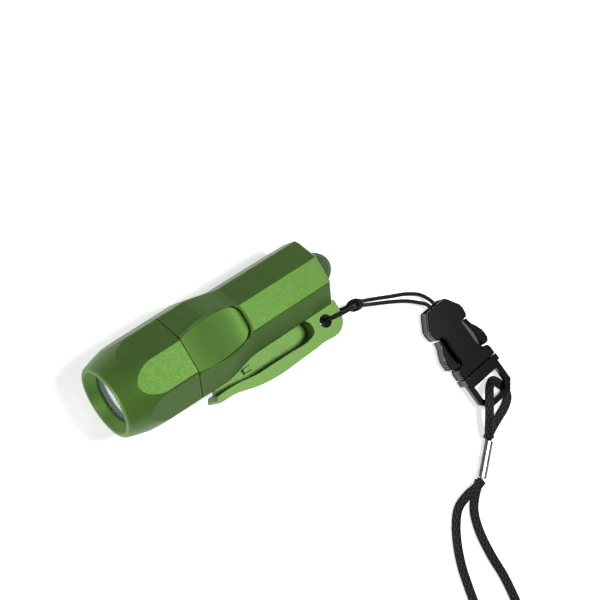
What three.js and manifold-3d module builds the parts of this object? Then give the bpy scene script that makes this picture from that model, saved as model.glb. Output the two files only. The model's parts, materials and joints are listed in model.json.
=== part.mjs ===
// A small dynamo flashlight with a squeeze lever, three lamps and a buckled wrist lanyard.
// Millimetres. +X points along the beam, +Z is up, and the lever lies on the +Y side.
import * as THREE from "three";
import { mergeVertices } from "three/addons/utils/BufferGeometryUtils.js";
import Module from "manifold-3d";

const wasm = await Module();
wasm.setup();

// Shared clearances and cutting overruns
const seatGap = 0.3;
const runningGap = 0.25;
const overrun = 2;
const fineSteps = 32;
const coarseSteps = 16;

// Casing: an octagonal barrel that steps down behind the head joint
const restPointAhead = 6;
const headApothem = 15.1;
const shoulderApothem = 12.5;
const tailApothem = 12.3;
const barrelFullLength = 11;
const barrelTaperLength = 13.5;
const barrelLength = 58.2;
const tailBevel = 1;
const jointGap = 0.3;
const wall = 1.7;
const tailWall = 2;
const frontCavityApothem = 10.2;
const frontCavityLength = 26;
const cornerClipShare = 0.99;

// Head: the octagon runs out into a round nose
const headLength = 27.6;
const noseRadius = 13;
const noseStartShare = 0.45;
const noseCurve = 1.6;
const lipRounding = 0.5;
const mouthRadius = 11.5;
const mouthDepth = 3;
const lensOpeningRadius = 9;
const headBore = 11.2;
const headWall = 0.8;

// Threaded neck that carries the head
const neckRadius = 12.25;
const neckLength = 6;
const neckBore = 10.8;
const sealGrooveStart = 1.6;
const sealGrooveDepth = 1.1;
const sealThickness = 0.9;

// Lamp group
const lensThickness = 1.5;
const lensRadius = 10.8;
const reflectorRadius = 10.6;
const reflectorLength = 10.4;
const lampCount = 3;
const lampCircle = 4.75;
const lampRadius = 2.5;
const lampFlange = 0.4;
const lampFlangeHeight = 1;
const lampLength = 8.6;
const wellMouthRadius = 4.4;
const boardThickness = 1.6;
const boardRadius = 10.4;

// Storage cell and its contact spring
const cellRadius = 10;
const cellThickness = 3.2;
const cellStart = -1.8;
const springWire = 0.5;
const cellSpringRadius = 4;
const cellSpringTurns = 3;

// Thumb scoops on the top and bottom facets, behind the head joint
const scoopDepth = 1.95;
const scoopLength = 25;
const scoopHalfWidth = 7.9;

// Squeeze lever
const leverThickness = 9;
const leverWeb = 3.5;
const leverStand = 17.6;
const leverBandDepth = 2.5;
const leverBow = 23;
const leverHeelReach = 22.3;
const leverTipX = -4.4;
const leverHeelX = -59.2;
const leverPocketRearX = -47.2;
const leverWebFrontX = -8;
const leverInnerY = 11.3;
const leverSkinGap = 0.6;
const leverOpenAngle = 18;
const lanyardHoleX = -52.6;
const lanyardHoleY = 16.2;
const lanyardHoleRadius = 2.3;
const latchWindow = { x: -22.8, y: 15.1, length: 3.8, width: 1.9 };
const latchTongueShare = 0.72;
const pivotX = -51.5;
const pivotY = 8.6;
const pinRadius = 1;
const pinLength = 12.4;
const knuckleRadius = 2.6;
const knuckleTop = -0.4;
const slotFrontX = -23;
const slotDepthY = 7.7;

// Gear train: the lever's toothed sector, an idler and the rotor
const coarseModule = 0.8;
const fineModule = 0.6;
const sectorTeeth = 48;
const idlerPinionTeeth = 8;
const idlerWheelTeeth = 26;
const rotorTeeth = 8;
const meshSlack = 0.2;
const sectorAngle = -22;
const sectorHalfSpread = 8;
const sectorThickness = 3;
const pinionTall = 3.6;
const wheelBottom = 0.4;
const wheelThickness = 2;
const shaftRadius = 0.8;
const magnetRadius = 5.4;
const magnetHeight = 5.2;
const magnetGap = 0.8;
const plateThickness = 1;
const plateLevel = 7.2;
const upperPlateLevel = 3.4;
const plateOverlap = 4.5;
const coreWidth = 2;
const coreTall = 3;
const coilRadius = 3.4;
const coilLength = 9;

// Tail button and switch
const buttonRadius = 6.5;
const buttonRise = 8.2;
const buttonWall = 1.2;
const buttonFlange = 0.6;
const buttonFlangeThickness = 0.8;
const buttonTravel = 1.2;
const switchLength = 3.6;
const switchWidth = 4.6;
const switchStem = 0.9;
const carrierThickness = 1.2;
const carrierX = -48;

// Lanyard: thin cord, buckle, ferrule and flat strap, given from the floor
const axisHeight = headApothem;
const cordRadius = 0.7;
const cordClearance = 0.15;
const strapWidth = 3;
const strapThickness = 1.4;
const buckleX = -98.9;
const buckleY = 34.9;
const buckleTurn = 96.6;
const buckleHeight = 6;
const socketLength = 27;
const socketWidth = 16.5;
const socketNeckWidth = 8.5;
const socketTaper = 6;
const socketCavityWidth = 12.4;
const socketCavityHeight = 3.4;
const socketCavityDepth = 21;
const windowStart = 10;
const windowLength = 12;
const flangeLength = 2.4;
const ringLength = 12;
const ringWall = 2.2;
const ringWidth = 16;
const ringDrop = 0.5;
const ringRise = 1.6;
const tongueWidth = 3;
const tongueLength = 15;
const prongWidth = 1.8;
const prongThickness = 2.8;
const prongBulge = 2.8;
const ferruleRadius = 2;
const ferruleLength = 13.6;
const ferruleX = -87.25;
const ferruleY = 91.15;
const ferruleTurn = 44.4;

const degrees = THREE.MathUtils.degToRad;

// Materials, with the colours of the photographed object
const plastic = (color, roughness) => new THREE.MeshStandardMaterial({ color, roughness, metalness: 0 });
const metal = (color, roughness) => new THREE.MeshStandardMaterial({ color, roughness, metalness: 1 });
const oliveCase = plastic(0x5f9a3c, 0.5);
const oliveLever = plastic(0x79b054, 0.5);
const darkRubber = plastic(0x2f5a1e, 0.7);
const blackPlastic = plastic(0x16181a, 0.45);
const blackCord = plastic(0x101214, 0.9);
const clearPlastic = new THREE.MeshStandardMaterial({
  color: 0xf2f6fa, roughness: 0.05, metalness: 0, transparent: true, opacity: 0.35,
});
const mirrorMetal = metal(0xdfe3e8, 0.12);
const steel = metal(0xb4b8bc, 0.3);
const brass = metal(0xc9a45a, 0.35);
const copper = metal(0xb66a3a, 0.4);
const magnetGrey = metal(0x55585c, 0.5);
const boardGreen = plastic(0x1f5a3a, 0.6);
const gearWhite = plastic(0xe6e2d6, 0.5);

// Turns a closed three.js geometry into a solid
function solid(geometry) {
  const flat = geometry.index ? geometry.toNonIndexed() : geometry.clone();
  const bare = new THREE.BufferGeometry().setAttribute("position", flat.getAttribute("position"));
  const merged = mergeVertices(bare, 1e-4);
  const kept = [];
  const index = merged.index.array;
  for (let i = 0; i < index.length; i += 3) {
    const [a, b, c] = [index[i], index[i + 1], index[i + 2]];
    if (a !== b && b !== c && c !== a) kept.push(a, b, c);
  }
  return new wasm.Manifold(
    new wasm.Mesh({
      numProp: 3,
      vertProperties: merged.attributes.position.array,
      triVerts: new Uint32Array(kept),
    }),
  );
}

// Wraps a finished solid as a named mesh
function piece(name, body, material) {
  const data = body.getMesh();
  const geometry = new THREE.BufferGeometry();
  geometry.setAttribute("position", new THREE.BufferAttribute(Float32Array.from(data.vertProperties), 3));
  geometry.setIndex(new THREE.BufferAttribute(Uint32Array.from(data.triVerts), 1));
  const made = new THREE.Mesh(geometry, material);
  made.name = name;
  return made;
}

// A block between two corners
function block(low, high) {
  const size = high.map((value, i) => value - low[i]);
  const box = new THREE.BoxGeometry(...size);
  box.translate(...low.map((value, i) => value + size[i] / 2));
  return solid(box);
}

// A round rod along Z
function rodZ(radius, low, high, x = 0, y = 0, steps = coarseSteps) {
  const rod = new THREE.CylinderGeometry(radius, radius, high - low, steps);
  rod.rotateX(Math.PI / 2);
  rod.translate(x, y, (low + high) / 2);
  return solid(rod);
}

// A profile of [x, radius] points turned about the X axis
function turned(profile, steps = fineSteps) {
  const points = profile.map(([x, radius]) => new THREE.Vector2(radius, x));
  const lathe = new THREE.LatheGeometry(points, steps);
  lathe.rotateZ(-Math.PI / 2);
  const body = solid(lathe);
  return body.volume() < 0 ? solid(flipped(lathe)) : body;
}

function flipped(geometry) {
  const flat = geometry.index ? geometry.toNonIndexed() : geometry.clone();
  const p = flat.getAttribute("position");
  for (let i = 0; i < p.count; i += 3) {
    const keep = [p.getX(i), p.getY(i), p.getZ(i)];
    p.setXYZ(i, p.getX(i + 1), p.getY(i + 1), p.getZ(i + 1));
    p.setXYZ(i + 1, ...keep);
  }
  return flat;
}

// A flat outline of [x, y] points raised from one level to another
function raised(outline, low, high, holes = []) {
  const shape = new THREE.Shape(outline.map(([x, y]) => new THREE.Vector2(x, y)));
  holes.forEach((hole) => shape.holes.push(new THREE.Path(hole.map(([x, y]) => new THREE.Vector2(x, y)))));
  const plate = new THREE.ExtrudeGeometry(shape, { depth: high - low, bevelEnabled: false, curveSegments: 1 });
  plate.translate(0, 0, low);
  return solid(plate);
}

// Points of a smooth curve through chosen [x, y] places
function smooth(places, steps) {
  const curve = new THREE.SplineCurve(places.map(([x, y]) => new THREE.Vector2(x, y)));
  return curve.getPoints(steps).map((p) => [p.x, p.y]);
}

function arc(x, y, radius, from, to, steps) {
  return Array.from({ length: steps + 1 }, (_, i) => {
    const a = degrees(from + ((to - from) * i) / steps);
    return [x + radius * Math.cos(a), y + radius * Math.sin(a)];
  });
}

// A closed skin through rings of points around the X axis, one ring for each station
function ringLoft(stations, angles, radiusAt) {
  const rings = stations.map((x) => angles.map((a) => {
    const r = radiusAt(x, a);
    return [x, r * Math.cos(a), r * Math.sin(a)];
  }));
  const corners = [];
  const count = angles.length;
  for (let s = 0; s + 1 < rings.length; s += 1) {
    for (let i = 0; i < count; i += 1) {
      const j = (i + 1) % count;
      corners.push(rings[s][i], rings[s][j], rings[s + 1][j]);
      corners.push(rings[s][i], rings[s + 1][j], rings[s + 1][i]);
    }
  }
  const first = [stations[0], 0, 0];
  const last = [stations[stations.length - 1], 0, 0];
  for (let i = 0; i < count; i += 1) {
    const j = (i + 1) % count;
    corners.push(first, rings[0][j], rings[0][i]);
    corners.push(last, rings[rings.length - 1][i], rings[rings.length - 1][j]);
  }
  const geometry = new THREE.BufferGeometry();
  geometry.setAttribute("position", new THREE.Float32BufferAttribute(corners.flat(), 3));
  const body = solid(geometry);
  return body.volume() < 0 ? solid(flipped(geometry)) : body;
}

// The eight-sided section, its corners clipped by a circle
const sides = 8;
const facetTurn = (2 * Math.PI) / sides;
function facetRadius(apothem, angle) {
  const off = angle - facetTurn * Math.round(angle / facetTurn);
  return apothem / Math.cos(off);
}

function cornerAngles() {
  const spread = facetTurn / 2 - Math.acos(Math.cos(facetTurn / 2) / cornerClipShare);
  const angles = [];
  for (let k = 0; k < sides; k += 1) {
    const corner = facetTurn * (k + 1 / 2);
    angles.push(corner - spread, corner, corner + spread);
  }
  return angles;
}

// Height of the facets along the barrel, from the head joint back
function barrelApothem(x) {
  const back = -x;
  const bevel = Math.max(0, back - (barrelLength - tailBevel));
  const shoulderX = barrelFullLength + barrelTaperLength;
  if (back <= barrelFullLength) return headApothem;
  if (back <= shoulderX) {
    const t = (back - barrelFullLength) / barrelTaperLength;
    const ease = t * t * (3 - 2 * t);
    return headApothem + (shoulderApothem - headApothem) * (t + ease) / 2;
  }
  const t = (back - shoulderX) / (barrelLength - shoulderX);
  return shoulderApothem + (tailApothem - shoulderApothem) * t - bevel;
}

function octagonBody(stations, apothemAt) {
  return ringLoft(stations, cornerAngles(), (x, a) => {
    const apothem = apothemAt(x);
    return Math.min(facetRadius(apothem, a), (apothem / Math.cos(facetTurn / 2)) * cornerClipShare);
  });
}

// A curved cutter that scoops a thumb rest out of the top facet
function thumbScoop() {
  const high = headApothem + overrun;
  const along = (share) => -scoopLength * share;
  const floor = smooth([
    [0, headApothem],
    [along(0.15), headApothem - scoopDepth * 0.3],
    [along(0.35), headApothem - scoopDepth * 0.8],
    [along(0.55), headApothem - scoopDepth * 1.32],
    [along(0.75), headApothem - scoopDepth * 1.74],
    [along(0.88), headApothem - scoopDepth * 1.88],
    [along(0.95), headApothem - scoopDepth * 1.78],
    [along(0.985), headApothem - scoopDepth * 1.56],
    [along(1), headApothem - scoopDepth * 1.3],
  ], fineSteps / 2);
  const outline = [[overrun, high], [overrun, headApothem], ...floor, [along(1), high]];
  const cutter = raised(outline, -headApothem, headApothem).rotate([90, 0, 0]);
  const side = smooth([
    [overrun, scoopHalfWidth * 0.8], [0, scoopHalfWidth * 0.84], [along(0.16), scoopHalfWidth * 0.93],
    [along(0.42), scoopHalfWidth], [along(0.7), scoopHalfWidth * 0.94], [along(0.88), scoopHalfWidth * 0.8],
    [along(0.97), scoopHalfWidth * 0.55], [along(1), 0],
  ], coarseSteps);
  const otherSide = side.slice(0, -1).reverse().map(([x, y]) => [x, -y]);
  return cutter.intersect(raised([...side, ...otherSide], 0, high));
}

function mainHousing() {
  const taperSteps = 6;
  const taper = Array.from({ length: taperSteps + 1 }, (_, i) =>
    -(barrelFullLength + (barrelTaperLength * i) / taperSteps));
  const skin = octagonBody(
    [-jointGap / 2, ...taper, -(barrelLength - tailBevel), -barrelLength], barrelApothem);
  const cavityEnd = -(barrelLength - tailWall);
  const rearCavity = octagonBody([-frontCavityLength, cavityEnd], (x) => barrelApothem(x) - wall);
  const frontCavity = octagonBody([overrun * 2, -frontCavityLength - overrun], () => frontCavityApothem);
  const sealRear = sealGrooveStart + sealThickness + seatGap;
  const neck = turned([
    [-overrun, 0], [-overrun, neckRadius], [sealGrooveStart, neckRadius],
    [sealGrooveStart, neckRadius - sealGrooveDepth], [sealRear, neckRadius - sealGrooveDepth],
    [sealRear, neckRadius], [neckLength, neckRadius], [neckLength, 0],
  ]);
  const bore = turned([[-overrun, 0], [-overrun, neckBore], [neckLength + overrun, neckBore],
    [neckLength + overrun, 0]]);
  const buttonHole = turned([
    [cavityEnd + overrun, 0], [cavityEnd + overrun, buttonRadius + runningGap],
    [-barrelLength - overrun, buttonRadius + runningGap], [-barrelLength - overrun, 0]]);
  const slotHalf = leverThickness / 2 + seatGap;
  const slot = block(
    [-barrelLength - overrun, slotDepthY, -slotHalf],
    [slotFrontX, headApothem + overrun, slotHalf]);
  const pinHole = rodZ(pinRadius + runningGap, -pinLength / 2 - seatGap, pinLength / 2 + seatGap, pivotX, pivotY);
  const scoop = thumbScoop();
  const lowerScoop = scoop.rotate([180, 0, 0]);
  return skin.add(pinBosses()).subtract(rearCavity).subtract(frontCavity).add(neck).add(pinBossTrim())
    .subtract(bore).subtract(buttonHole).subtract(slot).subtract(pinHole)
    .subtract(scoop).subtract(lowerScoop);
}

// Solid lugs inside the walls that hold the ends of the lever's pin
function pinBosses() {
  return rodZ(knuckleRadius, -pinLength / 2, pinLength / 2, pivotX, pivotY);
}

function pinBossTrim() {
  const lug = rodZ(knuckleRadius, leverThickness / 2 + seatGap, pinLength / 2, pivotX, pivotY);
  const lower = rodZ(knuckleRadius, -pinLength / 2, -leverThickness / 2 - seatGap, pivotX, pivotY);
  const inside = octagonBody([-barrelLength + tailWall, -frontCavityLength], (x) => barrelApothem(x) - wall / 2);
  return lug.add(lower).intersect(inside);
}

// Radius of the round nose that the head's facets run into
function noseProfile(x) {
  const corner = (headApothem / Math.cos(facetTurn / 2)) * cornerClipShare;
  const full = headLength * noseStartShare;
  const t = Math.max(0, (x - full) / (headLength - full));
  return corner - (corner - noseRadius) * t ** noseCurve;
}

function headShell() {
  const noseStart = headLength * noseStartShare;
  const noseLength = headLength - lipRounding - noseStart;
  const nose = Array.from({ length: coarseSteps + 1 }, (_, i) => {
    const x = noseStart + (noseLength * i) / coarseSteps;
    return [x, noseProfile(x)];
  });
  const lip = [headLength, noseProfile(headLength - lipRounding) - lipRounding];
  const round = turned([[-overrun, 0], [-overrun, headApothem * 2], [noseStart, headApothem * 2],
    ...nose, lip, [headLength, 0]], fineSteps * 3);
  const skin = octagonBody([jointGap / 2, headLength + overrun], () => headApothem).intersect(round);
  const shoulder = headLength - mouthDepth;
  const inner = turned([
    [-overrun, 0], [-overrun, neckRadius + seatGap], [neckLength + seatGap, neckRadius + seatGap],
    [neckLength + seatGap, headBore], [shoulder - headWall, headBore], [shoulder - headWall, lensOpeningRadius],
    [shoulder, lensOpeningRadius], [headLength, mouthRadius], [headLength + overrun, mouthRadius],
    [headLength + overrun, 0],
  ]);
  return skin.subtract(inner);
}

const lensFront = headLength - mouthDepth - headWall - seatGap;
const reflectorFront = lensFront - lensThickness - seatGap;
const reflectorBack = reflectorFront - reflectorLength;
const boardFront = reflectorBack - seatGap;

function lens() {
  const rear = lensFront - lensThickness;
  return turned([[rear, 0], [rear, lensRadius], [lensFront, lensRadius], [lensFront, 0]]);
}

function lampPlaces() {
  return Array.from({ length: lampCount }, (_, i) => {
    const a = Math.PI / 2 + (2 * Math.PI * i) / lampCount;
    return [lampCircle * Math.cos(a), lampCircle * Math.sin(a)];
  });
}

function reflector() {
  let cup = turned([
    [reflectorBack, 0], [reflectorBack, reflectorRadius], [reflectorFront, reflectorRadius],
    [reflectorFront, 0]]);
  const throat = lampRadius + seatGap;
  const bowlDepth = reflectorLength - lampFlangeHeight * 2;
  const bowlSteps = 5;
  const bowl = Array.from({ length: bowlSteps + 1 }, (_, i) => {
    const t = i / bowlSteps;
    return [reflectorFront - bowlDepth * (1 - t * t), throat + (wellMouthRadius - throat) * t];
  });
  const collar = lampRadius + lampFlange + seatGap;
  const collarFront = reflectorBack + lampFlangeHeight + seatGap;
  const well = turned([
    [reflectorBack - overrun, 0], [reflectorBack - overrun, collar], [collarFront, collar],
    [collarFront, throat], ...bowl, [reflectorFront + overrun, wellMouthRadius],
    [reflectorFront + overrun, 0],
  ], coarseSteps);
  for (const [y, z] of lampPlaces()) cup = cup.subtract(well.translate([0, y, z]));
  return cup;
}

function lamp() {
  const rear = reflectorBack;
  const domeStart = rear + lampLength - lampRadius;
  const dome = arc(domeStart, 0, lampRadius, 90, 0, coarseSteps / 4).map(([x, y]) => [x, Math.max(0, y)]);
  return turned([
    [rear, 0], [rear, lampRadius + lampFlange], [rear + lampFlangeHeight, lampRadius + lampFlange],
    [rear + lampFlangeHeight, lampRadius], ...dome,
  ], coarseSteps);
}

function disc(rear, front, radius) {
  return turned([[rear, 0], [rear, radius], [front, radius], [front, 0]]);
}

// A tube of wire along a curve
function wire(curve, radius, turnsSteps, faces) {
  const section = new THREE.Shape(arc(0, 0, radius, 0, 360 - 360 / faces, faces - 1)
    .map(([x, y]) => new THREE.Vector2(x, y)));
  return solid(new THREE.ExtrudeGeometry(section, { steps: turnsSteps, extrudePath: curve, bevelEnabled: false }));
}

class Helix extends THREE.Curve {
  constructor(radius, pitch, turns) {
    super();
    Object.assign(this, { radius, pitch, turns });
  }

  getPoint(t, target = new THREE.Vector3()) {
    const a = 2 * Math.PI * this.turns * t;
    return target.set(this.radius * Math.cos(a), this.radius * Math.sin(a), this.pitch * this.turns * t);
  }
}

const stepsPerTurn = 12;
const wireFaces = 6;

function cellSpring() {
  const room = boardFront - boardThickness - seatGap * 2 - springWire - (cellStart + cellThickness);
  const coil = wire(new Helix(cellSpringRadius, room / cellSpringTurns, cellSpringTurns), springWire / 2,
    cellSpringTurns * stepsPerTurn, wireFaces);
  return coil.rotate([0, 90, 0]).translate([cellStart + cellThickness + seatGap + springWire / 2, 0, 0]);
}

function returnSpring() {
  const turns = 4;
  const low = knuckleTop + seatGap + springWire / 2;
  const high = leverThickness / 2 - springWire;
  const radius = pinRadius + seatGap + springWire;
  return wire(new Helix(radius, (high - low) / turns, turns), springWire / 2, turns * stepsPerTurn, wireFaces)
    .translate([pivotX, pivotY, low]);
}

// Straight-sided gear teeth around a circle
const toothRootShare = 0.27;
const toothTipShare = 0.12;
const addendumShare = 0.8;
const dedendumShare = 1.15;
function teeth(count, module, x, y, turn, from = 0, to = count) {
  const pitch = 360 / count;
  const radius = (module * count) / 2;
  const points = [];
  for (let i = from; i < to; i += 1) {
    const middle = turn + pitch * i;
    const corner = (r, share) => {
      const a = degrees(middle + pitch * share);
      points.push([x + r * Math.cos(a), y + r * Math.sin(a)]);
    };
    corner(radius - module * dedendumShare, -toothRootShare);
    corner(radius + module * addendumShare, -toothTipShare);
    corner(radius + module * addendumShare, toothTipShare);
    corner(radius - module * dedendumShare, toothRootShare);
  }
  return points;
}

const sectorRadius = (coarseModule * sectorTeeth) / 2;
const idlerReach = (coarseModule * (sectorTeeth + idlerPinionTeeth)) / 2 + meshSlack;
const idlerX = pivotX + idlerReach * Math.cos(degrees(sectorAngle));
const idlerY = pivotY + idlerReach * Math.sin(degrees(sectorAngle));
const rotorReach = (fineModule * (idlerWheelTeeth + rotorTeeth)) / 2 + meshSlack;
const rotorX = idlerX + rotorReach;
const rotorY = idlerY;
const sectorTop = -leverThickness / 2 + sectorThickness;

// The toothed arc on the lever, with a tooth on the line to the idler
function sector() {
  const pitch = 360 / sectorTeeth;
  const low = sectorAngle - leverOpenAngle - sectorHalfSpread;
  const first = Math.ceil((low - sectorAngle) / pitch);
  const last = Math.floor(sectorHalfSpread / pitch);
  const outline = [[pivotX, pivotY], ...teeth(sectorTeeth, coarseModule, pivotX, pivotY, sectorAngle, first, last + 1)];
  return raised(outline, -leverThickness / 2, sectorTop);
}

// The lever's outline: bowed band, heel with the lanyard hole, and the arm that enters the barrel
function leverOutline() {
  const span = leverTipX - leverHeelX;
  const at = (share) => leverTipX - span * share;
  const bow = smooth([
    [at(0), leverStand + leverBandDepth * 0.5],
    [at(0.012), leverStand + leverBandDepth * 0.92],
    [at(0.13), leverStand + leverBandDepth],
    [at(0.28), leverBow - 0.16 * (leverBow - leverStand)],
    [at(0.44), leverBow],
    [at(0.58), leverBow - 0.055 * (leverBow - leverStand)],
    [at(0.72), leverHeelReach + 0.1 * (leverBow - leverHeelReach)],
    [at(0.81), leverHeelReach - 0.4 * (leverBow - leverHeelReach)],
    [at(0.9), leverHeelReach],
    [at(0.957), lanyardHoleY + 0.79 * (leverHeelReach - lanyardHoleY)],
    [at(0.99), lanyardHoleY + 0.37 * (leverHeelReach - lanyardHoleY)],
    [at(1), lanyardHoleY - 0.27 * (leverHeelReach - lanyardHoleY)],
  ], fineSteps + coarseSteps);
  const skinY = (x) => barrelApothem(x) + leverSkinGap;
  const knuckle = arc(pivotX, pivotY, knuckleRadius, 200, 300, coarseSteps / 2);
  return [
    ...bow,
    [leverHeelX, leverInnerY + seatGap * 2],
    ...knuckle,
    [pivotX + knuckleRadius * 1.4, leverInnerY - seatGap],
    [pivotX + knuckleRadius * 2.2, leverInnerY],
    [slotFrontX - seatGap * 4, leverInnerY],
    [slotFrontX - seatGap * 3, skinY(slotFrontX)],
    [(slotFrontX + leverWebFrontX) / 2, skinY((slotFrontX + leverWebFrontX) / 2)],
    [leverWebFrontX, skinY(leverWebFrontX)],
    [leverWebFrontX + seatGap, leverStand - seatGap * 3],
    [leverWebFrontX + seatGap * 2, leverStand - seatGap],
    [at(0.11), leverStand - seatGap],
    [at(0.02), leverStand],
  ];
}

// The moulded pocket between the band and the barrel
function leverPocket() {
  const span = leverTipX - leverHeelX;
  const at = (share) => leverTipX - span * share;
  const outerEdge = smooth([
    [leverWebFrontX + overrun, leverStand - seatGap],
    [at(0.18), leverStand],
    [at(0.31), leverStand + 0.4 * leverBandDepth],
    [at(0.46), leverStand + 0.42 * leverBandDepth],
    [at(0.6), leverStand + 0.46 * leverBandDepth],
    [at(0.68), leverStand + 0.54 * leverBandDepth],
    [at(0.745), leverStand + 0.3 * leverBandDepth],
    [leverPocketRearX, leverStand - 0.3 * leverBandDepth],
    [leverPocketRearX, leverInnerY + 1.1 * leverBandDepth],
    [leverPocketRearX + 0.5 * leverBandDepth, leverInnerY + 0.45 * leverBandDepth],
  ], fineSteps);
  const inner = leverInnerY - overrun;
  return [...outerEdge, [leverPocketRearX + leverBandDepth, inner], [leverWebFrontX + overrun, inner]];
}

function squeezeLever() {
  const half = leverThickness / 2;
  const web = -half + leverWeb;
  const whole = raised(leverOutline(), -half, half);
  const pocket = raised(leverPocket(), web, half + overrun);
  const springWell = rodZ(knuckleRadius + runningGap, knuckleTop, half + overrun, pivotX, pivotY, fineSteps);
  const hole = rodZ(lanyardHoleRadius, -half - overrun, half + overrun, lanyardHoleX, lanyardHoleY, fineSteps);
  const { x, y, length, width } = latchWindow;
  const window = block([x, y, -half - overrun], [x + length, y + width, web + overrun]);
  const tongue = block([x - seatGap, y + width * (1 - latchTongueShare) / 2, -half],
    [x + length * latchTongueShare, y + width * (1 + latchTongueShare) / 2, web]);
  const pinBore = rodZ(pinRadius + runningGap, -half - overrun, half + overrun, pivotX, pivotY);
  return whole.subtract(pocket).add(sector()).subtract(springWell).subtract(hole).subtract(window)
    .add(tongue).subtract(pinBore);
}

function idlerGear() {
  const pinionTurn = 180 + sectorAngle + 180 / idlerPinionTeeth;
  const low = -leverThickness / 2 - seatGap;
  const pinion = raised(teeth(idlerPinionTeeth, coarseModule, idlerX, idlerY, pinionTurn), low,
    wheelBottom + wheelThickness / 2);
  const wheel = raised(teeth(idlerWheelTeeth, fineModule, idlerX, idlerY, 0), wheelBottom,
    wheelBottom + wheelThickness);
  const bore = rodZ(shaftRadius + runningGap, low - overrun, wheelBottom + wheelThickness + overrun, idlerX, idlerY);
  return pinion.add(wheel).subtract(bore);
}

function rotorPinion() {
  const turn = 180 + 180 / rotorTeeth;
  const gear = raised(teeth(rotorTeeth, fineModule, rotorX, rotorY, turn), wheelBottom - magnetGap / 2,
    wheelBottom + wheelThickness);
  const bore = rodZ(shaftRadius + runningGap, -overrun * 2, wheelBottom + wheelThickness + overrun, rotorX, rotorY);
  return gear.subtract(bore);
}

const magnetTop = wheelBottom - magnetGap / 2 - seatGap;
function rotorMagnet() {
  const ring = rodZ(magnetRadius, magnetTop - magnetHeight, magnetTop, rotorX, rotorY, fineSteps);
  return ring.subtract(rodZ(shaftRadius + runningGap, -plateLevel, overrun, rotorX, rotorY));
}

// Plates that carry the gear shafts, wide enough to lie in the barrel's walls
function gearPlate(low, high) {
  const level = Math.max(Math.abs(low), Math.abs(high));
  const room = (frontCavityApothem * Math.SQRT2) - level - seatGap * Math.SQRT2;
  const half = Math.min(room, frontCavityApothem - seatGap);
  const plate = block([idlerX - plateOverlap, -half, low], [rotorX + magnetRadius + plateOverlap, half, high]);
  const hole = (x, y) => rodZ(shaftRadius + runningGap, low - overrun, high + overrun, x, y);
  return plate.subtract(hole(idlerX, idlerY)).subtract(hole(rotorX, rotorY));
}

function shaft(x, y) {
  return rodZ(shaftRadius, -plateLevel - plateThickness / 2, upperPlateLevel + plateThickness, x, y);
}

const coreInner = magnetRadius + seatGap * 2;
const coreBackX = rotorX + magnetRadius + coreWidth + overrun;
const coreLow = magnetTop - (magnetHeight + coreTall) / 2;
function statorCore() {
  const outer = coreInner + coreWidth;
  const frame = block([rotorX - coreWidth, rotorY - outer, coreLow],
    [coreBackX + coreWidth, rotorY + outer, coreLow + coreTall]);
  const inside = block([rotorX - overrun * 2, rotorY - coreInner, coreLow - overrun],
    [coreBackX, rotorY + coreInner, coreLow + coreTall + overrun]);
  return frame.subtract(inside);
}

function statorCoil() {
  const x = coreBackX + coreWidth / 2;
  const z = coreLow + coreTall / 2;
  const bobbin = new THREE.CylinderGeometry(coilRadius, coilRadius, coilLength, fineSteps);
  bobbin.translate(x, rotorY, z);
  const bore = block([x - coreWidth / 2 - runningGap, -coilLength, z - coreTall / 2 - runningGap],
    [x + coreWidth / 2 + runningGap, coilLength, z + coreTall / 2 + runningGap]);
  return solid(bobbin).subtract(bore);
}

// Tail button: a hollow dome held by its inner flange
const buttonSeatX = -(barrelLength - tailWall) + seatGap;
function tailButton() {
  const steps = coarseSteps / 2;
  const rim = -barrelLength;
  const dome = (radius, rise) => arc(0, 0, 1, 0, 90, steps)
    .map(([c, s]) => [rim - rise * s, Math.max(0, radius * c)]);
  const flange = buttonRadius + buttonFlange;
  const front = buttonSeatX + buttonFlangeThickness;
  const outside = turned([[front, 0], [front, flange], [buttonSeatX, flange], [buttonSeatX, buttonRadius],
    ...dome(buttonRadius, buttonRise)]);
  const hollow = turned([[front + overrun, 0], [front + overrun, buttonRadius - buttonWall],
    ...dome(buttonRadius - buttonWall, buttonRise - buttonWall)]);
  const stemTip = carrierX - switchLength - switchStem - seatGap - buttonTravel;
  const stem = turned([[-barrelLength - buttonRise + buttonWall / 2, 0],
    [-barrelLength - buttonRise + buttonWall / 2, switchStem], [stemTip, switchStem], [stemTip, 0]], coarseSteps);
  return outside.subtract(hollow).add(stem);
}

function tailSwitch() {
  const half = switchWidth / 2;
  const bodyRear = carrierX - seatGap - switchLength;
  const body = block([bodyRear, -half, -half], [carrierX - seatGap, half, half]);
  const stem = turned([[bodyRear - switchStem, 0], [bodyRear - switchStem, switchStem],
    [bodyRear + overrun / 2, switchStem], [bodyRear + overrun / 2, 0]], coarseSteps);
  return body.add(stem);
}

function switchCarrier() {
  const tall = barrelApothem(carrierX) - wall - seatGap;
  return block([carrierX, -switchWidth, -tall], [carrierX + carrierThickness, switchWidth / 2, tall]);
}

// Lanyard
class Route extends THREE.CatmullRomCurve3 {
  constructor(places) {
    super(places.map((p) => new THREE.Vector3(...p)), false, "centripetal");
  }
}

// A tube along a route, round or flat, with an even number of steps
function tube(places, width, thickness, steps, faces = 8) {
  const section = new THREE.Shape(arc(0, 0, 1, 360 / faces / 2, 360 - 360 / faces / 2, faces - 1)
    .map(([x, y]) => new THREE.Vector2((x * thickness) / 2, (y * width) / 2)));
  const path = new Route(places);
  return solid(new THREE.ExtrudeGeometry(section, { steps, extrudePath: path, bevelEnabled: false }));
}

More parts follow.
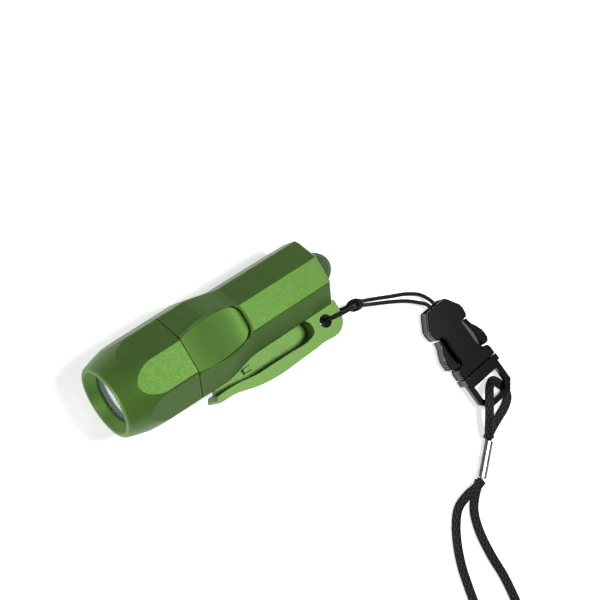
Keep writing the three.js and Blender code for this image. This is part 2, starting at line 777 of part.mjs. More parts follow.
// The thin cord passes through the lever's hole, over and under the heel, and is tied behind it
const upperRoute = [
  [-53.7, 16.1, 15.3], [-53.7, 16.1, 18.1], [-54.4, 16.3, 20.5], [-57, 16.7, 21.4], [-60.4, 17, 21.3],
  [-63.4, 17.3, 20.4], [-65.2, 17.6, 18.1], [-66.4, 17.9, 15.7], [-69.2, 18.8, 12.8], [-72.9, 20.2, 9],
  [-77.2, 21.9, 5.6], [-82, 23.8, 3.2], [-86.8, 25.9, 2.1], [-91.6, 28.4, 2], [-95, 31, 2.5],
  [-97.6, 33.7, 3], [-98, 36.5, 3],
];
const lowerRoute = [
  [-53.7, 16.1, 14.9], [-53.7, 16.1, 12.1], [-54.4, 16.2, 9.8], [-57, 16.5, 8.8], [-60.2, 16.8, 8.8],
  [-63, 17, 9.7], [-64.8, 17.2, 11.3], [-66.5, 17.2, 13.2], [-69, 17.6, 10.9], [-72.9, 18.6, 7],
  [-77.4, 20.1, 3.8], [-82.2, 21.9, 1.9], [-87.4, 24, 1.2], [-93.4, 26.4, 1.1], [-97.8, 29.4, 1.6],
  [-99.7, 33.4, 3], [-100.2, 36.3, 3],
];
const knotPlace = [-68, 18, 13.2];
const knotLean = 48;
const knotRadius = 2.65;
const knotSquash = 0.85;

function cordKnot() {
  const turn = new THREE.TorusGeometry(knotRadius, cordRadius, coarseSteps / 2, coarseSteps);
  turn.scale(1, knotSquash, 1);
  turn.rotateY(Math.PI / 2 - degrees(knotLean));
  turn.translate(...knotPlace);
  const room = (cordRadius + cordClearance) * 2;
  return solid(turn).subtract(tube(upperRoute, room, room, 36)).subtract(tube(lowerRoute, room, room, 36));
}

// Local frame of the buckle: its length along X, its width along Y
function onBuckle(object) {
  object.rotation.z = degrees(buckleTurn);
  object.position.set(buckleX, buckleY, buckleHeight / 2);
  return object;
}

function buckleSocket() {
  const half = socketWidth / 2;
  const neckHalf = socketNeckWidth / 2;
  const tall = buckleHeight / 2 - seatGap / 2;
  const outline = [
    [0, -neckHalf], [socketTaper, -half], [socketLength * 0.4, -half], [socketLength * 0.6, -half * 0.94],
    [socketLength, -half], [socketLength, half], [socketLength * 0.6, half * 0.94], [socketLength * 0.4, half],
    [socketTaper, half], [0, neckHalf],
  ];
  const body = raised(outline, -tall, tall);
  const cavityStart = socketLength - socketCavityDepth;
  const cavity = block([cavityStart, -socketCavityWidth / 2, -socketCavityHeight / 2],
    [socketLength + overrun, socketCavityWidth / 2, socketCavityHeight / 2]);
  const side = (sign) => {
    const y = [sign * (half - prongBulge), sign * (half + overrun)].sort((a, b) => a - b);
    return block([windowStart, y[0], -socketCavityHeight / 2], [windowStart + windowLength, y[1], socketCavityHeight / 2]);
  };
  const cordHole = block([-overrun, -socketNeckWidth / 4, -cordRadius * 2], [cavityStart + overrun / 2,
    socketNeckWidth / 4, cordRadius * 2]);
  return body.subtract(cavity).subtract(side(1)).subtract(side(-1)).subtract(cordHole);
}

const flangeStart = socketLength + seatGap;
const ringStart = flangeStart + flangeLength;
function bucklePlug() {
  const half = socketWidth / 2;
  const ringHalf = ringWidth / 2;
  const tall = buckleHeight / 2;
  const flange = block([flangeStart, -half, -tall], [ringStart, half, tall]);
  const ringOuter = [
    [ringStart - overrun / 2, -ringHalf], [ringStart + ringLength * 0.7, -ringHalf],
    [ringStart + ringLength, -ringHalf * 0.6], [ringStart + ringLength, ringHalf * 0.6],
    [ringStart + ringLength * 0.7, ringHalf], [ringStart - overrun / 2, ringHalf],
  ];
  const ringInner = [
    [ringStart + ringWall, -ringHalf + ringWall], [ringStart + ringLength * 0.62, -ringHalf + ringWall],
    [ringStart + ringLength - ringWall, -ringHalf * 0.5], [ringStart + ringLength - ringWall, ringHalf * 0.5],
    [ringStart + ringLength * 0.62, ringHalf - ringWall], [ringStart + ringWall, ringHalf - ringWall],
  ];
  const ring = raised(ringOuter, -ringDrop, ringRise, [ringInner]);
  const tongueHalf = socketCavityHeight / 2 - seatGap;
  const tongue = block([flangeStart - tongueLength, -tongueWidth / 2, -tongueHalf],
    [flangeStart + overrun / 2, tongueWidth / 2, tongueHalf]);
  return flange.add(ring).add(tongue);
}

// One springy side arm of the plug, with its finger pad in the socket's window
function buckleProng(sign) {
  const root = socketCavityWidth / 2 - seatGap - prongWidth;
  const rootEnd = flangeStart - seatGap;
  const padFront = windowStart + windowLength - seatGap * 2;
  const padRear = windowStart + seatGap * 2;
  const outer = root + prongWidth;
  const outline = [
    [rootEnd, root], [padRear, root - prongWidth * 0.3], [padRear, outer + prongBulge * 0.5],
    [padRear + windowLength * 0.3, outer + prongBulge], [padFront - windowLength * 0.2, outer + prongBulge * 0.8],
    [padFront, outer + prongBulge * 0.4], [padFront, outer - prongWidth * 0.2], [rootEnd, outer],
  ];
  const turnedOutline = outline.map(([x, y]) => [x, y * sign]);
  const shape = sign > 0 ? turnedOutline.reverse() : turnedOutline;
  return raised(shape, -prongThickness / 2, prongThickness / 2);
}

function ferrule() {
  return rodZ(ferruleRadius, -ferruleLength / 2, ferruleLength / 2);
}

// The flat strap passes round the bar of the plug's ring, is gripped by the ferrule and ends in a wrist loop
const neckRoute = [
  [-92.6, 85.9, 3.05], [-93.5, 83.2, 3.9], [-95.3, 79.3, 5.4], [-97.4, 75.6, 6], [-99.8, 72.2, 5.7],
  [-102.7, 69.9, 4.1], [-105.5, 69.5, 2.4], [-107.5, 71.5, 1.4], [-108.7, 74.7, 1.1],
  [-108.1, 77.6, 1], [-105.3, 79.9, 1], [-101.2, 81.7, 1], [-96.6, 83.7, 1], [-92.6, 85.9, 1],
];
const wristRoute = [
  [-81.9, 96.4, 3.05], [-78.3, 97.4, 2.9], [-74.4, 98, 2.1], [-69.5, 100, 1.1], [-65.4, 104.6, 0.8],
  [-61.8, 111.2, 0.8], [-59.3, 117.9, 0.8], [-57.6, 125.2, 0.8], [-56.2, 132.6, 0.8],
  [-54.8, 142, 0.8], [-53.6, 151.8, 0.8], [-54.4, 160.8, 0.8], [-59, 166.2, 0.8], [-65, 165.4, 0.8],
  [-68.4, 159, 0.8], [-69.7, 150, 0.8], [-70.8, 140, 0.8], [-71.6, 130, 0.8], [-71.4, 120.2, 0.8],
  [-72.2, 110.8, 0.8], [-74.4, 104, 0.8], [-77.8, 99.8, 0.9], [-81.9, 96.4, 1],
];

const world = new THREE.Group();
const torch = new THREE.Group();
torch.position.set(-restPointAhead, 0, axisHeight);
const strapGroup = new THREE.Group();
strapGroup.position.set(-restPointAhead, 0, 0);
world.add(torch, strapGroup);

torch.add(
  piece("main_housing", mainHousing(), oliveCase),
  piece("head_shell", headShell(), oliveCase),
  piece("lens", lens(), clearPlastic),
  piece("reflector", reflector(), mirrorMetal),
  piece("lamp_board", disc(boardFront - boardThickness, boardFront, boardRadius), boardGreen),
  piece("storage_cell", disc(cellStart, cellStart + cellThickness, cellRadius), steel),
  piece("cell_spring", cellSpring(), brass),
  piece("squeeze_lever", squeezeLever(), oliveLever),
  piece("lever_pin", rodZ(pinRadius, -pinLength / 2, pinLength / 2, pivotX, pivotY), steel),
  piece("return_spring", returnSpring(), steel),
  piece("idler_gear", idlerGear(), gearWhite),
  piece("rotor_pinion", rotorPinion(), brass),
  piece("rotor_magnet", rotorMagnet(), magnetGrey),
  piece("idler_shaft", shaft(idlerX, idlerY), steel),
  piece("rotor_shaft", shaft(rotorX, rotorY), steel),
  piece("lower_gear_plate", gearPlate(-plateLevel - plateThickness, -plateLevel), blackPlastic),
  piece("upper_gear_plate", gearPlate(upperPlateLevel, upperPlateLevel + plateThickness), blackPlastic),
  piece("stator_core", statorCore(), steel),
  piece("stator_coil", statorCoil(), copper),
  piece("tail_button", tailButton(), darkRubber),
  piece("tail_switch", tailSwitch(), blackPlastic),
  piece("switch_carrier", switchCarrier(), blackPlastic),
);
lampPlaces().forEach(([y, z], i) => torch.add(piece(`lamp_${i + 1}`, lamp().translate([0, y, z]), clearPlastic)));

const sealRadius = neckRadius - sealGrooveDepth + seatGap + sealThickness / 2;
const seal = new THREE.TorusGeometry(sealRadius, sealThickness / 2, wireFaces, fineSteps - coarseSteps / 2);
seal.rotateY(Math.PI / 2);
seal.translate(sealGrooveStart + (sealThickness + seatGap) / 2, 0, 0);
torch.add(piece("seal_ring", solid(seal), blackPlastic));

strapGroup.add(
  piece("cord_upper", tube(upperRoute, cordRadius * 2, cordRadius * 2, 36), blackCord),
  piece("cord_lower", tube(lowerRoute, cordRadius * 2, cordRadius * 2, 36), blackCord),
  piece("cord_knot", cordKnot(), blackCord),
  piece("neck_strap", tube(neckRoute, strapWidth, strapThickness, 36), blackCord),
  piece("wrist_strap", tube(wristRoute, strapWidth, strapThickness, 56), blackCord),
  onBuckle(piece("buckle_socket", buckleSocket(), blackPlastic)),
  onBuckle(piece("buckle_plug", bucklePlug(), blackPlastic)),
  onBuckle(piece("buckle_prong_left", buckleProng(1), blackPlastic)),
  onBuckle(piece("buckle_prong_right", buckleProng(-1), blackPlastic)),
);

const sleeve = piece("ferrule", ferrule(), steel);
sleeve.rotation.set(0, Math.PI / 2, 0);
const sleeveTurn = new THREE.Group();
sleeveTurn.rotation.z = degrees(ferruleTurn);
sleeveTurn.position.set(ferruleX, ferruleY, ferruleRadius);
sleeveTurn.add(sleeve);
strapGroup.add(sleeveTurn);

export default world;
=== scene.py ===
"""A pocket dynamo flashlight with a squeeze lever and a buckled wrist lanyard, dressed for rendering."""

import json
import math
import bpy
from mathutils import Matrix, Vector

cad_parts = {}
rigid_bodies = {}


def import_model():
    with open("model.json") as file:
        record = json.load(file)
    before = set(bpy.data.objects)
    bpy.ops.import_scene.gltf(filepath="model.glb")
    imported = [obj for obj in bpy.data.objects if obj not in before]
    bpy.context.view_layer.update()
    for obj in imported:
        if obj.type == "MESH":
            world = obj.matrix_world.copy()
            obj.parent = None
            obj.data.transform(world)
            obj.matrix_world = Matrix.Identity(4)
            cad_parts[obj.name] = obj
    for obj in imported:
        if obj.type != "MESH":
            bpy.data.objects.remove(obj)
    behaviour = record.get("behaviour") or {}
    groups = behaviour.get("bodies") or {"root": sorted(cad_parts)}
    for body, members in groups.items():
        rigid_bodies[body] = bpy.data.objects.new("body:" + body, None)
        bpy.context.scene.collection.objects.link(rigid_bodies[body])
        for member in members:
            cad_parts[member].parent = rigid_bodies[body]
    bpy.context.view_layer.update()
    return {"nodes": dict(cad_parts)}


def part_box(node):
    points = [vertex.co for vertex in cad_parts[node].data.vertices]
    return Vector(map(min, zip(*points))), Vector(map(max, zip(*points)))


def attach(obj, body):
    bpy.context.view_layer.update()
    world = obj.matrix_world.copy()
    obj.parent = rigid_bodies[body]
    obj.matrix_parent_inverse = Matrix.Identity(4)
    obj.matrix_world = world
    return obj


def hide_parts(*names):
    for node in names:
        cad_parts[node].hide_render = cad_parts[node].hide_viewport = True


bl_info = {
    "name": "Lever flashlight",
    "version": (1, 0, 0),
    "blender": (4, 5, 0),
    "location": "3D View > Sidebar > Flashlight",
    "description": "Dresses a pocket dynamo flashlight with its lanyard",
    "category": "Object",
}

import bmesh
import bpy
from bpy.props import FloatProperty, FloatVectorProperty, IntProperty, PointerProperty
from mathutils import Matrix, Vector

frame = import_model()

MM = 0.001
UP = Vector((0, 0, 1))

# The camera that the photograph was taken with, in the frame's metres
CAMERA_PLACE = Vector((0.233946, -0.070232, 0.655919))
CAMERA_RIGHT = Vector((-0.76619, 0.49788, 0.40629))
CAMERA_UP = Vector((-0.49469, -0.86052, 0.1216))
CAMERA_BACK = Vector((0.41016, -0.10782, 0.90562))
CAMERA_VIEW_DEGREES = 16.2602
CAMERA_CLIP_START = 0.01

# Soft lamps, in metres and watts: place, the point they face, size across and along, and power
LAMPS = {
    "key_lamp": ((-0.225, 0.08, 0.6), (-0.03, 0.01, 0.015), (0.14, 0.21), 3.5),
    "front_lamp": ((0.45, 0, 0.05), (0.02, 0, 0.012), (0.1, 0.1), 2.1),
}
ROOM_STRENGTH = 0.1
WHITE = (1, 1, 1, 1)

# The table: how far it reaches in metres, its paint, and the light that it adds where it is seen
TABLE_REACH = 6
TABLE_COLOUR = (0.9, 0.9, 0.9)
TABLE_ROUGHNESS = 0.9
TABLE_SHINE = 0.1
TABLE_GLOW = 0.65

# Colours that a user wouldn't change
STEEL = (0.62, 0.63, 0.65)
BRASS = (0.72, 0.5, 0.2)
COPPER = (0.62, 0.25, 0.1)
SLEEVE_METAL = (0.5, 0.53, 0.55)
MAGNET_GREY = (0.12, 0.125, 0.13)
GEAR_WHITE = (0.78, 0.75, 0.66)
PLATE_BLACK = (0.02, 0.022, 0.025)
SEAL_BLACK = (0.01, 0.01, 0.011)
BOARD_GREEN = (0.012, 0.1, 0.045)
MIRROR_SILVER = (0.85, 0.9, 0.96)
LENS_CLEAR = (0.97, 0.99, 1)
LAMP_CLEAR = (0.95, 0.97, 1)

# Most noise lies between these two values, which are spread over the whole of a tint or polish
NOISE_LOW = 0.3
NOISE_HIGH = 0.7
# Scale of the wave texture, which repeats its slanted bands every 1.26 units
WAVE_SCALE = 0.5

# Edges sharper than this are rounded, and the head's flats meet its round nose at a smaller angle
EDGE_DEGREES = 32
HEAD_EDGE_DEGREES = 24
# Points nearer than this are one point, and faces within this angle are one flat
MERGE_DISTANCE = 0.002 * MM
FLAT_DEGREES = 0.1
# A face of the case that is larger than this, in square metres, is one of its flats
LARGE_FLAT = 60 * MM * MM

# Places shared with the part, in millimetres: its head joint along X and its axis above the table
JOINT_X = -6
AXIS_Z = 15.1

# Half of the thumb scoop's border, in millimetres from the head joint, and the bead's depth in the skin
SCOOP_BORDER = [
    (-0.3, 6.69, 29.76), (-4, 7.35, 29.11), (-7.5, 7.72, 28.73), (-10.5, 7.9, 28.55), (-14, 7.78, 28.03),
    (-17.5, 7.43, 27.27), (-20, 6.98, 26.89), (-22, 6.32, 26.96), (-23.3, 5.45, 27.5), (-24.25, 4.34, 27.63),
    (-24.85, 2.3, 27.6), (-24.95, 0, 27.6),
]
BEAD_SINK = 0.15

# Steps between two points of a route, and sides round a cord, the knot and a bead
CORD_STEPS = 12
BEAD_STEPS = 6
CORD_SIDES = 20
KNOT_SIDES = 16
BEAD_SIDES = 12
# A stretch whose direction rises more than this share is too steep to take its sideways direction from up
STEEP_SHARE = 0.9
# Pairs of knots between which a centripetal span is blended, level by level
BLEND_LEVELS = (((0, 1), (1, 2), (2, 3)), ((0, 2), (1, 3)), ((1, 2),))

# Braids: scale of the slanted bands round the girth, and the length in metres of one unit along the cord
THIN_BRAID = (5, 1.6 * MM)
FLAT_BRAID = (8, 2.2 * MM)

# The cord's knot: direction of the runs that it binds, and its turns in shares of the cord's width
KNOT_ALONG = (-0.68, 0.17, -0.71)
KNOT_STEPS = 90
KNOT_TURNS = 2.6
KNOT_SWELL = 0.18
KNOT_PITCH_SHARE = 0.92
KNOT_SLANT_SHARE = 0.35
KNOT_SIDE_SHARE = 0.95
KNOT_RISE_SHARE = 1.3

# Routes of the lanyard, in millimetres from the head joint
UPPER_ROUTE = [
    (-53.7, 16.1, 15.3), (-53.7, 16.1, 18.1), (-54.4, 16.3, 20.5), (-57, 16.7, 21.4), (-60.4, 17, 21.3),
    (-63.4, 17.3, 20.4), (-65.2, 17.6, 18.1), (-66.4, 17.9, 15.7), (-69.2, 18.8, 12.8), (-72.9, 20.2, 9),
    (-77.2, 21.9, 5.6), (-82, 23.8, 3.2), (-86.8, 25.9, 2.1), (-91.6, 28.4, 2), (-95, 31, 2.5),
    (-97.6, 33.7, 3), (-98, 36.5, 3),
]
LOWER_ROUTE = [
    (-53.7, 16.1, 14.9), (-53.7, 16.1, 12.1), (-54.4, 16.2, 9.8), (-57, 16.5, 8.8), (-60.2, 16.8, 8.8),
    (-63, 17, 9.7), (-64.8, 17.2, 11.3), (-66.5, 17.2, 13.2), (-69, 17.6, 10.9), (-72.9, 18.6, 7),
    (-77.4, 20.1, 3.8), (-82.2, 21.9, 1.9), (-87.4, 24, 1.2), (-93.4, 26.4, 1.1), (-97.8, 29.4, 1.6),
    (-99.7, 33.4, 3), (-100.2, 36.3, 3),
]
NECK_ROUTE = [
    (-92.6, 85.9, 3.05), (-93.5, 83.2, 3.9), (-95.3, 79.3, 5.4), (-97.4, 75.6, 6), (-99.8, 72.2, 5.7),
    (-102.7, 69.9, 4.1), (-105.5, 69.5, 2.4), (-107.5, 71.5, 1.4), (-108.7, 74.7, 1.1),
    (-108.1, 77.6, 1), (-105.3, 79.9, 1), (-101.2, 81.7, 1), (-96.6, 83.7, 1), (-92.6, 85.9, 1),
]
WRIST_ROUTE = [
    (-81.9, 96.4, 3.05), (-78.3, 97.4, 2.9), (-74.4, 98, 2.1), (-69.5, 100, 1.1), (-65.4, 104.6, 0.8),
    (-61.8, 111.2, 0.8), (-59.3, 117.9, 0.8), (-57.6, 125.2, 0.8), (-56.2, 132.6, 0.8),
    (-54.8, 142, 0.8), (-53.6, 151.8, 0.8), (-54.4, 160.8, 0.8), (-59, 166.2, 0.8), (-65, 165.4, 0.8),
    (-68.4, 159, 0.8), (-69.7, 150, 0.8), (-70.8, 140, 0.8), (-71.6, 130, 0.8), (-71.4, 120.2, 0.8),
    (-72.2, 110.8, 0.8), (-74.4, 104, 0.8), (-77.8, 99.8, 0.9), (-81.9, 96.4, 1),
]

# The buckle's place, in millimetres from the head joint, and its turn about the upright
BUCKLE_PLACE = (-98.9, 34.9, 3)
BUCKLE_TURN_DEGREES = 96.6
# Outlines of its visible mouldings on one side of its middle line, in millimetres along and across it
SOCKET_SKIN_LEVELS = (1.7, 2.85)
SOCKET_FRONT = [(0, 4.25), (1.2, 5.3), (5.4, 8), (7, 8.25), (9.3, 7.9), (10.3, 7.3)]
SOCKET_PLATE = SOCKET_FRONT + [
    (10.3, 5.1), (10.8, 4.5), (21.6, 4.5), (22.5, 5.1), (22.9, 7.6), (24, 8.1), (27, 8.2),
]
SOCKET_SHOULDER = SOCKET_FRONT + [(10.2, 6.3), (6, 6.2)]
SOCKET_POST = [(23.4, 6.4), (23, 7.6), (24, 8.1), (27, 8.2), (27, 6.5)]
PRONG_HALF_HEIGHT = 2.35
PRONG_NECK_HALF_HEIGHT = 1.35
PRONG_PAD = [
    (11, 6.1), (10.8, 7.2), (12, 7.2), (13.6, 7.7), (15.4, 8.7), (17.4, 9.5), (19.4, 9.8), (21.2, 9.6),
    (22.2, 8.9), (22.4, 8), (22.2, 6.2), (17, 6.5),
]
PRONG_NECK = [(21.5, 4.7), (21.5, 6.35), (26.6, 5.9), (26.6, 4.3)]
# Ribs on the finger pad: their number, the first one's place, their spacing, width and half height, and
# the levels across the buckle between which they stand
GRIP_COUNT = 4
GRIP_START = 17.6
GRIP_PITCH = 1.05
GRIP_WIDTH = 0.5
GRIP_HALF_HEIGHT = 1.9
GRIP_ROOT = 9
GRIP_TOP = 10


def colour_setting(name, description, default):
    return FloatVectorProperty(
        name=name, description=description, subtype="COLOR", size=3, min=0, max=1, default=default)


def length_setting(name, description, default):
    return FloatProperty(name=name, description=description, unit="LENGTH", default=default, min=0)


class FlashlightColours(bpy.types.PropertyGroup):
    """Colours that a user would change"""

    case: colour_setting("Case", "Moulded barrel and head", (0.051, 0.109, 0.022))
    lever: colour_setting("Lever", "Moulded squeeze lever", (0.084, 0.16, 0.042))
    button: colour_setting("Button", "Rubber tail button", (0.034, 0.085, 0.018))
    cord: colour_setting("Cord", "Braided cord and strap", (0.0035, 0.004, 0.0048))
    buckle: colour_setting("Buckle", "Moulded buckle", (0.0032, 0.0042, 0.005))


class FlashlightSizes(bpy.types.PropertyGroup):
    """Sizes of the details that the dressing adds"""

    edge_round: length_setting("Edge round", "Rounding on the casing's moulded edges", 0.45 * MM)
    fine_round: length_setting("Fine round", "Rounding on small parts", 0.2 * MM)
    grain: length_setting("Grain", "Size of the moulded grain", 0.35 * MM)
    cord_width: length_setting("Cord width", "Thickness of the thin cord", 1.4 * MM)
    strap_width: length_setting("Strap width", "Width of the flat strap", 3.6 * MM)
    strap_thickness: length_setting("Strap thickness", "Thickness of the flat strap", 1.6 * MM)
    bead_width: length_setting("Bead width", "Thickness of the bead round a thumb scoop", 1.1 * MM)
    round_steps: IntProperty(name="Round steps", description="Segments on rounded edges", default=3, min=1)


def colours():
    return bpy.context.scene.flashlight_colours


def sizes():
    return bpy.context.scene.flashlight_sizes


def combined(tree, operation, first, second):
    """The result of a Math node on a socket and another socket or number"""
    maths = tree.nodes.new("ShaderNodeMath")
    maths.operation = operation
    for place, value in enumerate((first, second)):
        if isinstance(value, bpy.types.NodeSocket):
            tree.links.new(value, maths.inputs[place])
        else:
            maths.inputs[place].default_value = value
    return maths.outputs["Value"]


class Finish:
    """A node material on one Principled shader, built up step by step"""

    def __init__(self, name, colour, roughness, metallic=0):
        self.material = bpy.data.materials.new(name)
        self.material.use_nodes = True
        self.tree = self.material.node_tree
        self.nodes = self.tree.nodes
        self.links = self.tree.links
        self.shader = self.nodes["Principled BSDF"]
        self.put("Base Color", (*colour, 1))
        self.put("Roughness", roughness)
        self.put("Metallic", metallic)
        self.place = self.nodes.new("ShaderNodeTexCoord")
        self.height = None

    def put(self, socket, value):
        self.shader.inputs[socket].default_value = value

    def scaled(self, source, scale):
        mapping = self.nodes.new("ShaderNodeMapping")
        mapping.inputs["Scale"].default_value = scale
        self.links.new(source, mapping.inputs["Vector"])
        return mapping.outputs["Vector"]

    def noise(self, size, detail, stretch=(1, 1, 1)):
        """Noise whose lumps have a size in metres, made finer by the stretch along each axis"""
        noise = self.nodes.new("ShaderNodeTexNoise")
        noise.inputs["Scale"].default_value = 1 / size
        noise.inputs["Detail"].default_value = detail
        self.links.new(self.scaled(self.place.outputs["Object"], stretch), noise.inputs["Vector"])
        return noise.outputs["Fac"]

    def bands(self, source, scale):
        """Slanted light and dark waves over a scaled source"""
        wave = self.nodes.new("ShaderNodeTexWave")
        wave.wave_type = "BANDS"
        wave.bands_direction = "DIAGONAL"
        wave.inputs["Scale"].default_value = WAVE_SCALE
        self.links.new(self.scaled(source, scale), wave.inputs["Vector"])
        return wave.outputs["Fac"]

    def tint(self, source, dark, light):
        """Base colour between a dark and a light one"""
        ramp = self.nodes.new("ShaderNodeValToRGB")
        first, second = ramp.color_ramp.elements
        first.position = NOISE_LOW
        second.position = NOISE_HIGH
        first.color = (*dark, 1)
        second.color = (*light, 1)
        self.links.new(source, ramp.inputs["Fac"])
        self.links.new(ramp.outputs["Color"], self.shader.inputs["Base Color"])

    def polish(self, source, low, high):
        """Roughness between a low and a high one"""
        remap = self.nodes.new("ShaderNodeMapRange")
        remap.inputs["From Min"].default_value = NOISE_LOW
        remap.inputs["From Max"].default_value = NOISE_HIGH
        remap.inputs["To Min"].default_value = low
        remap.inputs["To Max"].default_value = high
        self.links.new(source, remap.inputs["Value"])
        self.links.new(remap.outputs["Result"], self.shader.inputs["Roughness"])

    def bump(self, source, depth, strength):
        """Relief of a depth in metres, on top of the relief that is already there"""
        bump = self.nodes.new("ShaderNodeBump")
        bump.inputs["Distance"].default_value = depth
        bump.inputs["Strength"].default_value = strength
        self.links.new(source, bump.inputs["Height"])
        if self.height:
            self.links.new(self.height, bump.inputs["Normal"])
        self.height = bump.outputs["Normal"]
        self.links.new(self.height, self.shader.inputs["Normal"])


def shade(colour, factor):
    return tuple(min(1, channel * factor) for channel in colour)


def grained(name, colour, roughness):
    """A satin moulding's fine spark-eroded grain and faint flow marks"""
    finish = Finish(name, colour, roughness)
    grain = finish.noise(size=sizes().grain, detail=3)
    flow = finish.noise(size=5 * MM, detail=3)
    finish.tint(flow, dark=shade(colour, 0.93), light=shade(colour, 1.06))
    finish.polish(grain, low=roughness - 0.05, high=roughness + 0.07)
    finish.bump(grain, depth=0.03 * MM, strength=0.35)
    finish.bump(flow, depth=0.08 * MM, strength=0.4)
    return finish


def moulded_plastic(name, colour, roughness):
    """Satin moulding"""
    return grained(name, colour, roughness).material


def lacquered_plastic(name, colour, roughness):
    """Satin moulding under a coloured lacquer, which tints its own shine"""
    finish = grained(name, colour, roughness)
    brightest = max(colour)
    finish.put("Specular IOR Level", 0.65)
    finish.put("Specular Tint", (*(channel / brightest for channel in colour), 1))
    return finish.material


def soft_rubber(name, colour):
    """Matte rubber with a dusty fine texture"""
    finish = Finish(name, colour, roughness=0.62)
    grain = finish.noise(size=0.25 * MM, detail=4)
    dust = finish.noise(size=2.5 * MM, detail=4)
    finish.tint(dust, dark=shade(colour, 0.85), light=shade(colour, 1.25))
    finish.polish(grain, low=0.55, high=0.7)
    finish.bump(grain, depth=0.03 * MM, strength=0.4)
    return finish.material


def glossy_plastic(name, colour):
    """Polished moulding with shallow sink marks and handling scuffs"""
    finish = Finish(name, colour, roughness=0.2)
    sink = finish.noise(size=3.2 * MM, detail=2)
    scuff = finish.noise(size=0.5 * MM, detail=6, stretch=(1, 6, 1))
    finish.tint(scuff, dark=shade(colour, 0.9), light=shade(colour, 1.5))
    finish.polish(scuff, low=0.1, high=0.16)
    finish.bump(sink, depth=0.03 * MM, strength=0.2)
    finish.bump(scuff, depth=0.003 * MM, strength=0.2)
    finish.put("Specular IOR Level", 0.35)
    return finish.material


def metal(name, colour, roughness, brush=(1, 1, 1)):
    """Bare metal with drawn or turned marks"""
    finish = Finish(name, colour, roughness, metallic=1)
    marks = finish.noise(size=0.3 * MM, detail=4, stretch=brush)
    wear = finish.noise(size=2.2 * MM, detail=3)
    finish.tint(wear, dark=shade(colour, 0.86), light=shade(colour, 1.05))
    finish.polish(marks, low=roughness * 0.75, high=roughness * 1.35)
    finish.bump(marks, depth=0.01 * MM, strength=0.3)
    return finish.material


def clear_resin(name, colour, roughness, opacity):
    """Clear moulding that lets light and shadow through, with a faint haze of its own"""
    finish = Finish(name, colour, roughness)
    finish.put("Alpha", opacity)
    finish.put("IOR", 1.46)
    haze = finish.noise(size=1.6 * MM, detail=2)
    finish.polish(haze, low=roughness, high=roughness + 0.04)
    return finish.material


def bright_mirror(name):
    """Metallised plastic cup: a clouded mirror over the moulding's own orange peel"""
    finish = Finish(name, MIRROR_SILVER, roughness=0.1, metallic=0.25)
    peel = finish.noise(size=1.5 * MM, detail=0)
    finish.tint(peel, dark=(0.7, 0.8, 0.9), light=(0.95, 0.98, 1))
    finish.polish(peel, low=0.06, high=0.14)
    finish.bump(peel, depth=0.22 * MM, strength=0.8)
    return finish.material


def circuit_board(name):
    """Lacquered green board over its copper tracks"""
    finish = Finish(name, BOARD_GREEN, roughness=0.35)
    tracks = finish.noise(size=1.1 * MM, detail=1, stretch=(1, 4, 1))
    finish.tint(tracks, dark=(0.01, 0.08, 0.035), light=(0.02, 0.16, 0.07))
    finish.bump(tracks, depth=0.03 * MM, strength=0.5)
    return finish.material


def braid(name, colour, density, unit):
    """Tight braid: two families of slanted strands that follow the cord's own unrolled skin, with painted
    glints where both are high
    """
    finish = Finish(name, colour, roughness=0.62)
    skin = finish.nodes.new("ShaderNodeUVMap")
    skin.uv_map = "skin"
    leaning = [finish.bands(skin.outputs["UV"], (1 / unit, lean * density, 1)) for lean in (1, -1)]
    strand_tops = combined(finish.tree, "MAXIMUM", *leaning)
    # Painted highlight: where both families of bands are high, the base colour is lightened up to sixfold as
    # a glint
    painted_glints = combined(finish.tree, "MINIMUM", *leaning)
    fuzz = finish.noise(size=0.12 * MM, detail=3)
    finish.tint(painted_glints, dark=shade(colour, 0.6), light=shade(colour, 6))
    finish.polish(fuzz, low=0.5, high=0.75)
    finish.bump(strand_tops, depth=0.16 * MM, strength=0.9)
    finish.bump(fuzz, depth=0.02 * MM, strength=0.4)
    finish.put("Specular IOR Level", 0.2)
    return finish.material


def material(name, make, *arguments, **settings):
    return bpy.data.materials.get(name) or make(name, *arguments, **settings)


def case_finish():
    return material("case_plastic", lacquered_plastic, tuple(colours().case), roughness=0.43)


def buckle_finish():
    return material("buckle_plastic", glossy_plastic, tuple(colours().buckle))


def braid_finish(kind):
    density, unit = kind
    return material(f"braid_{density}", braid, tuple(colours().cord), density, unit)


def paint_node(node, finish):
    """Gives a CAD node a finish and leaves its shape alone"""
    item = frame["nodes"][node]
    item.data.materials.clear()
    item.data.materials.append(finish)


def as_mesh(work, name):
    mesh = bpy.data.meshes.new(name)
    work.to_mesh(mesh)
    work.free()
    return mesh


def show_mesh(name, mesh, finish, body):
    item = bpy.data.objects.new(name, mesh)
    bpy.context.scene.collection.objects.link(item)
    mesh.materials.clear()
    mesh.materials.append(finish)
    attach(item, body)
    return item


def smooth_by_angle(mesh, degrees):
    for face in mesh.polygons:
        face.use_smooth = True
    mesh.set_sharp_from_angle(angle=math.radians(degrees))


def round_edges(item, width, degrees):
    bevel = item.modifiers.new("edge_round", "BEVEL")
    bevel.width = width
    bevel.segments = sizes().round_steps
    bevel.limit_method = "ANGLE"
    bevel.angle_limit = math.radians(degrees)
    bevel.use_clamp_overlap = True
    even = item.modifiers.new("even_shading", "WEIGHTED_NORMAL")
    even.keep_sharp = True


def keep_flats_crisp(mesh, least_area):
    """Marks the border of every large flat face, so that it isn't shaded into its curved neighbour"""
    work = bmesh.new()
    work.from_mesh(mesh)
    for edge in work.edges:
        large = [face.calc_area() > least_area for face in edge.link_faces]
        if any(large) and not all(large):
            edge.smooth = False
    work.to_mesh(mesh)
    work.free()


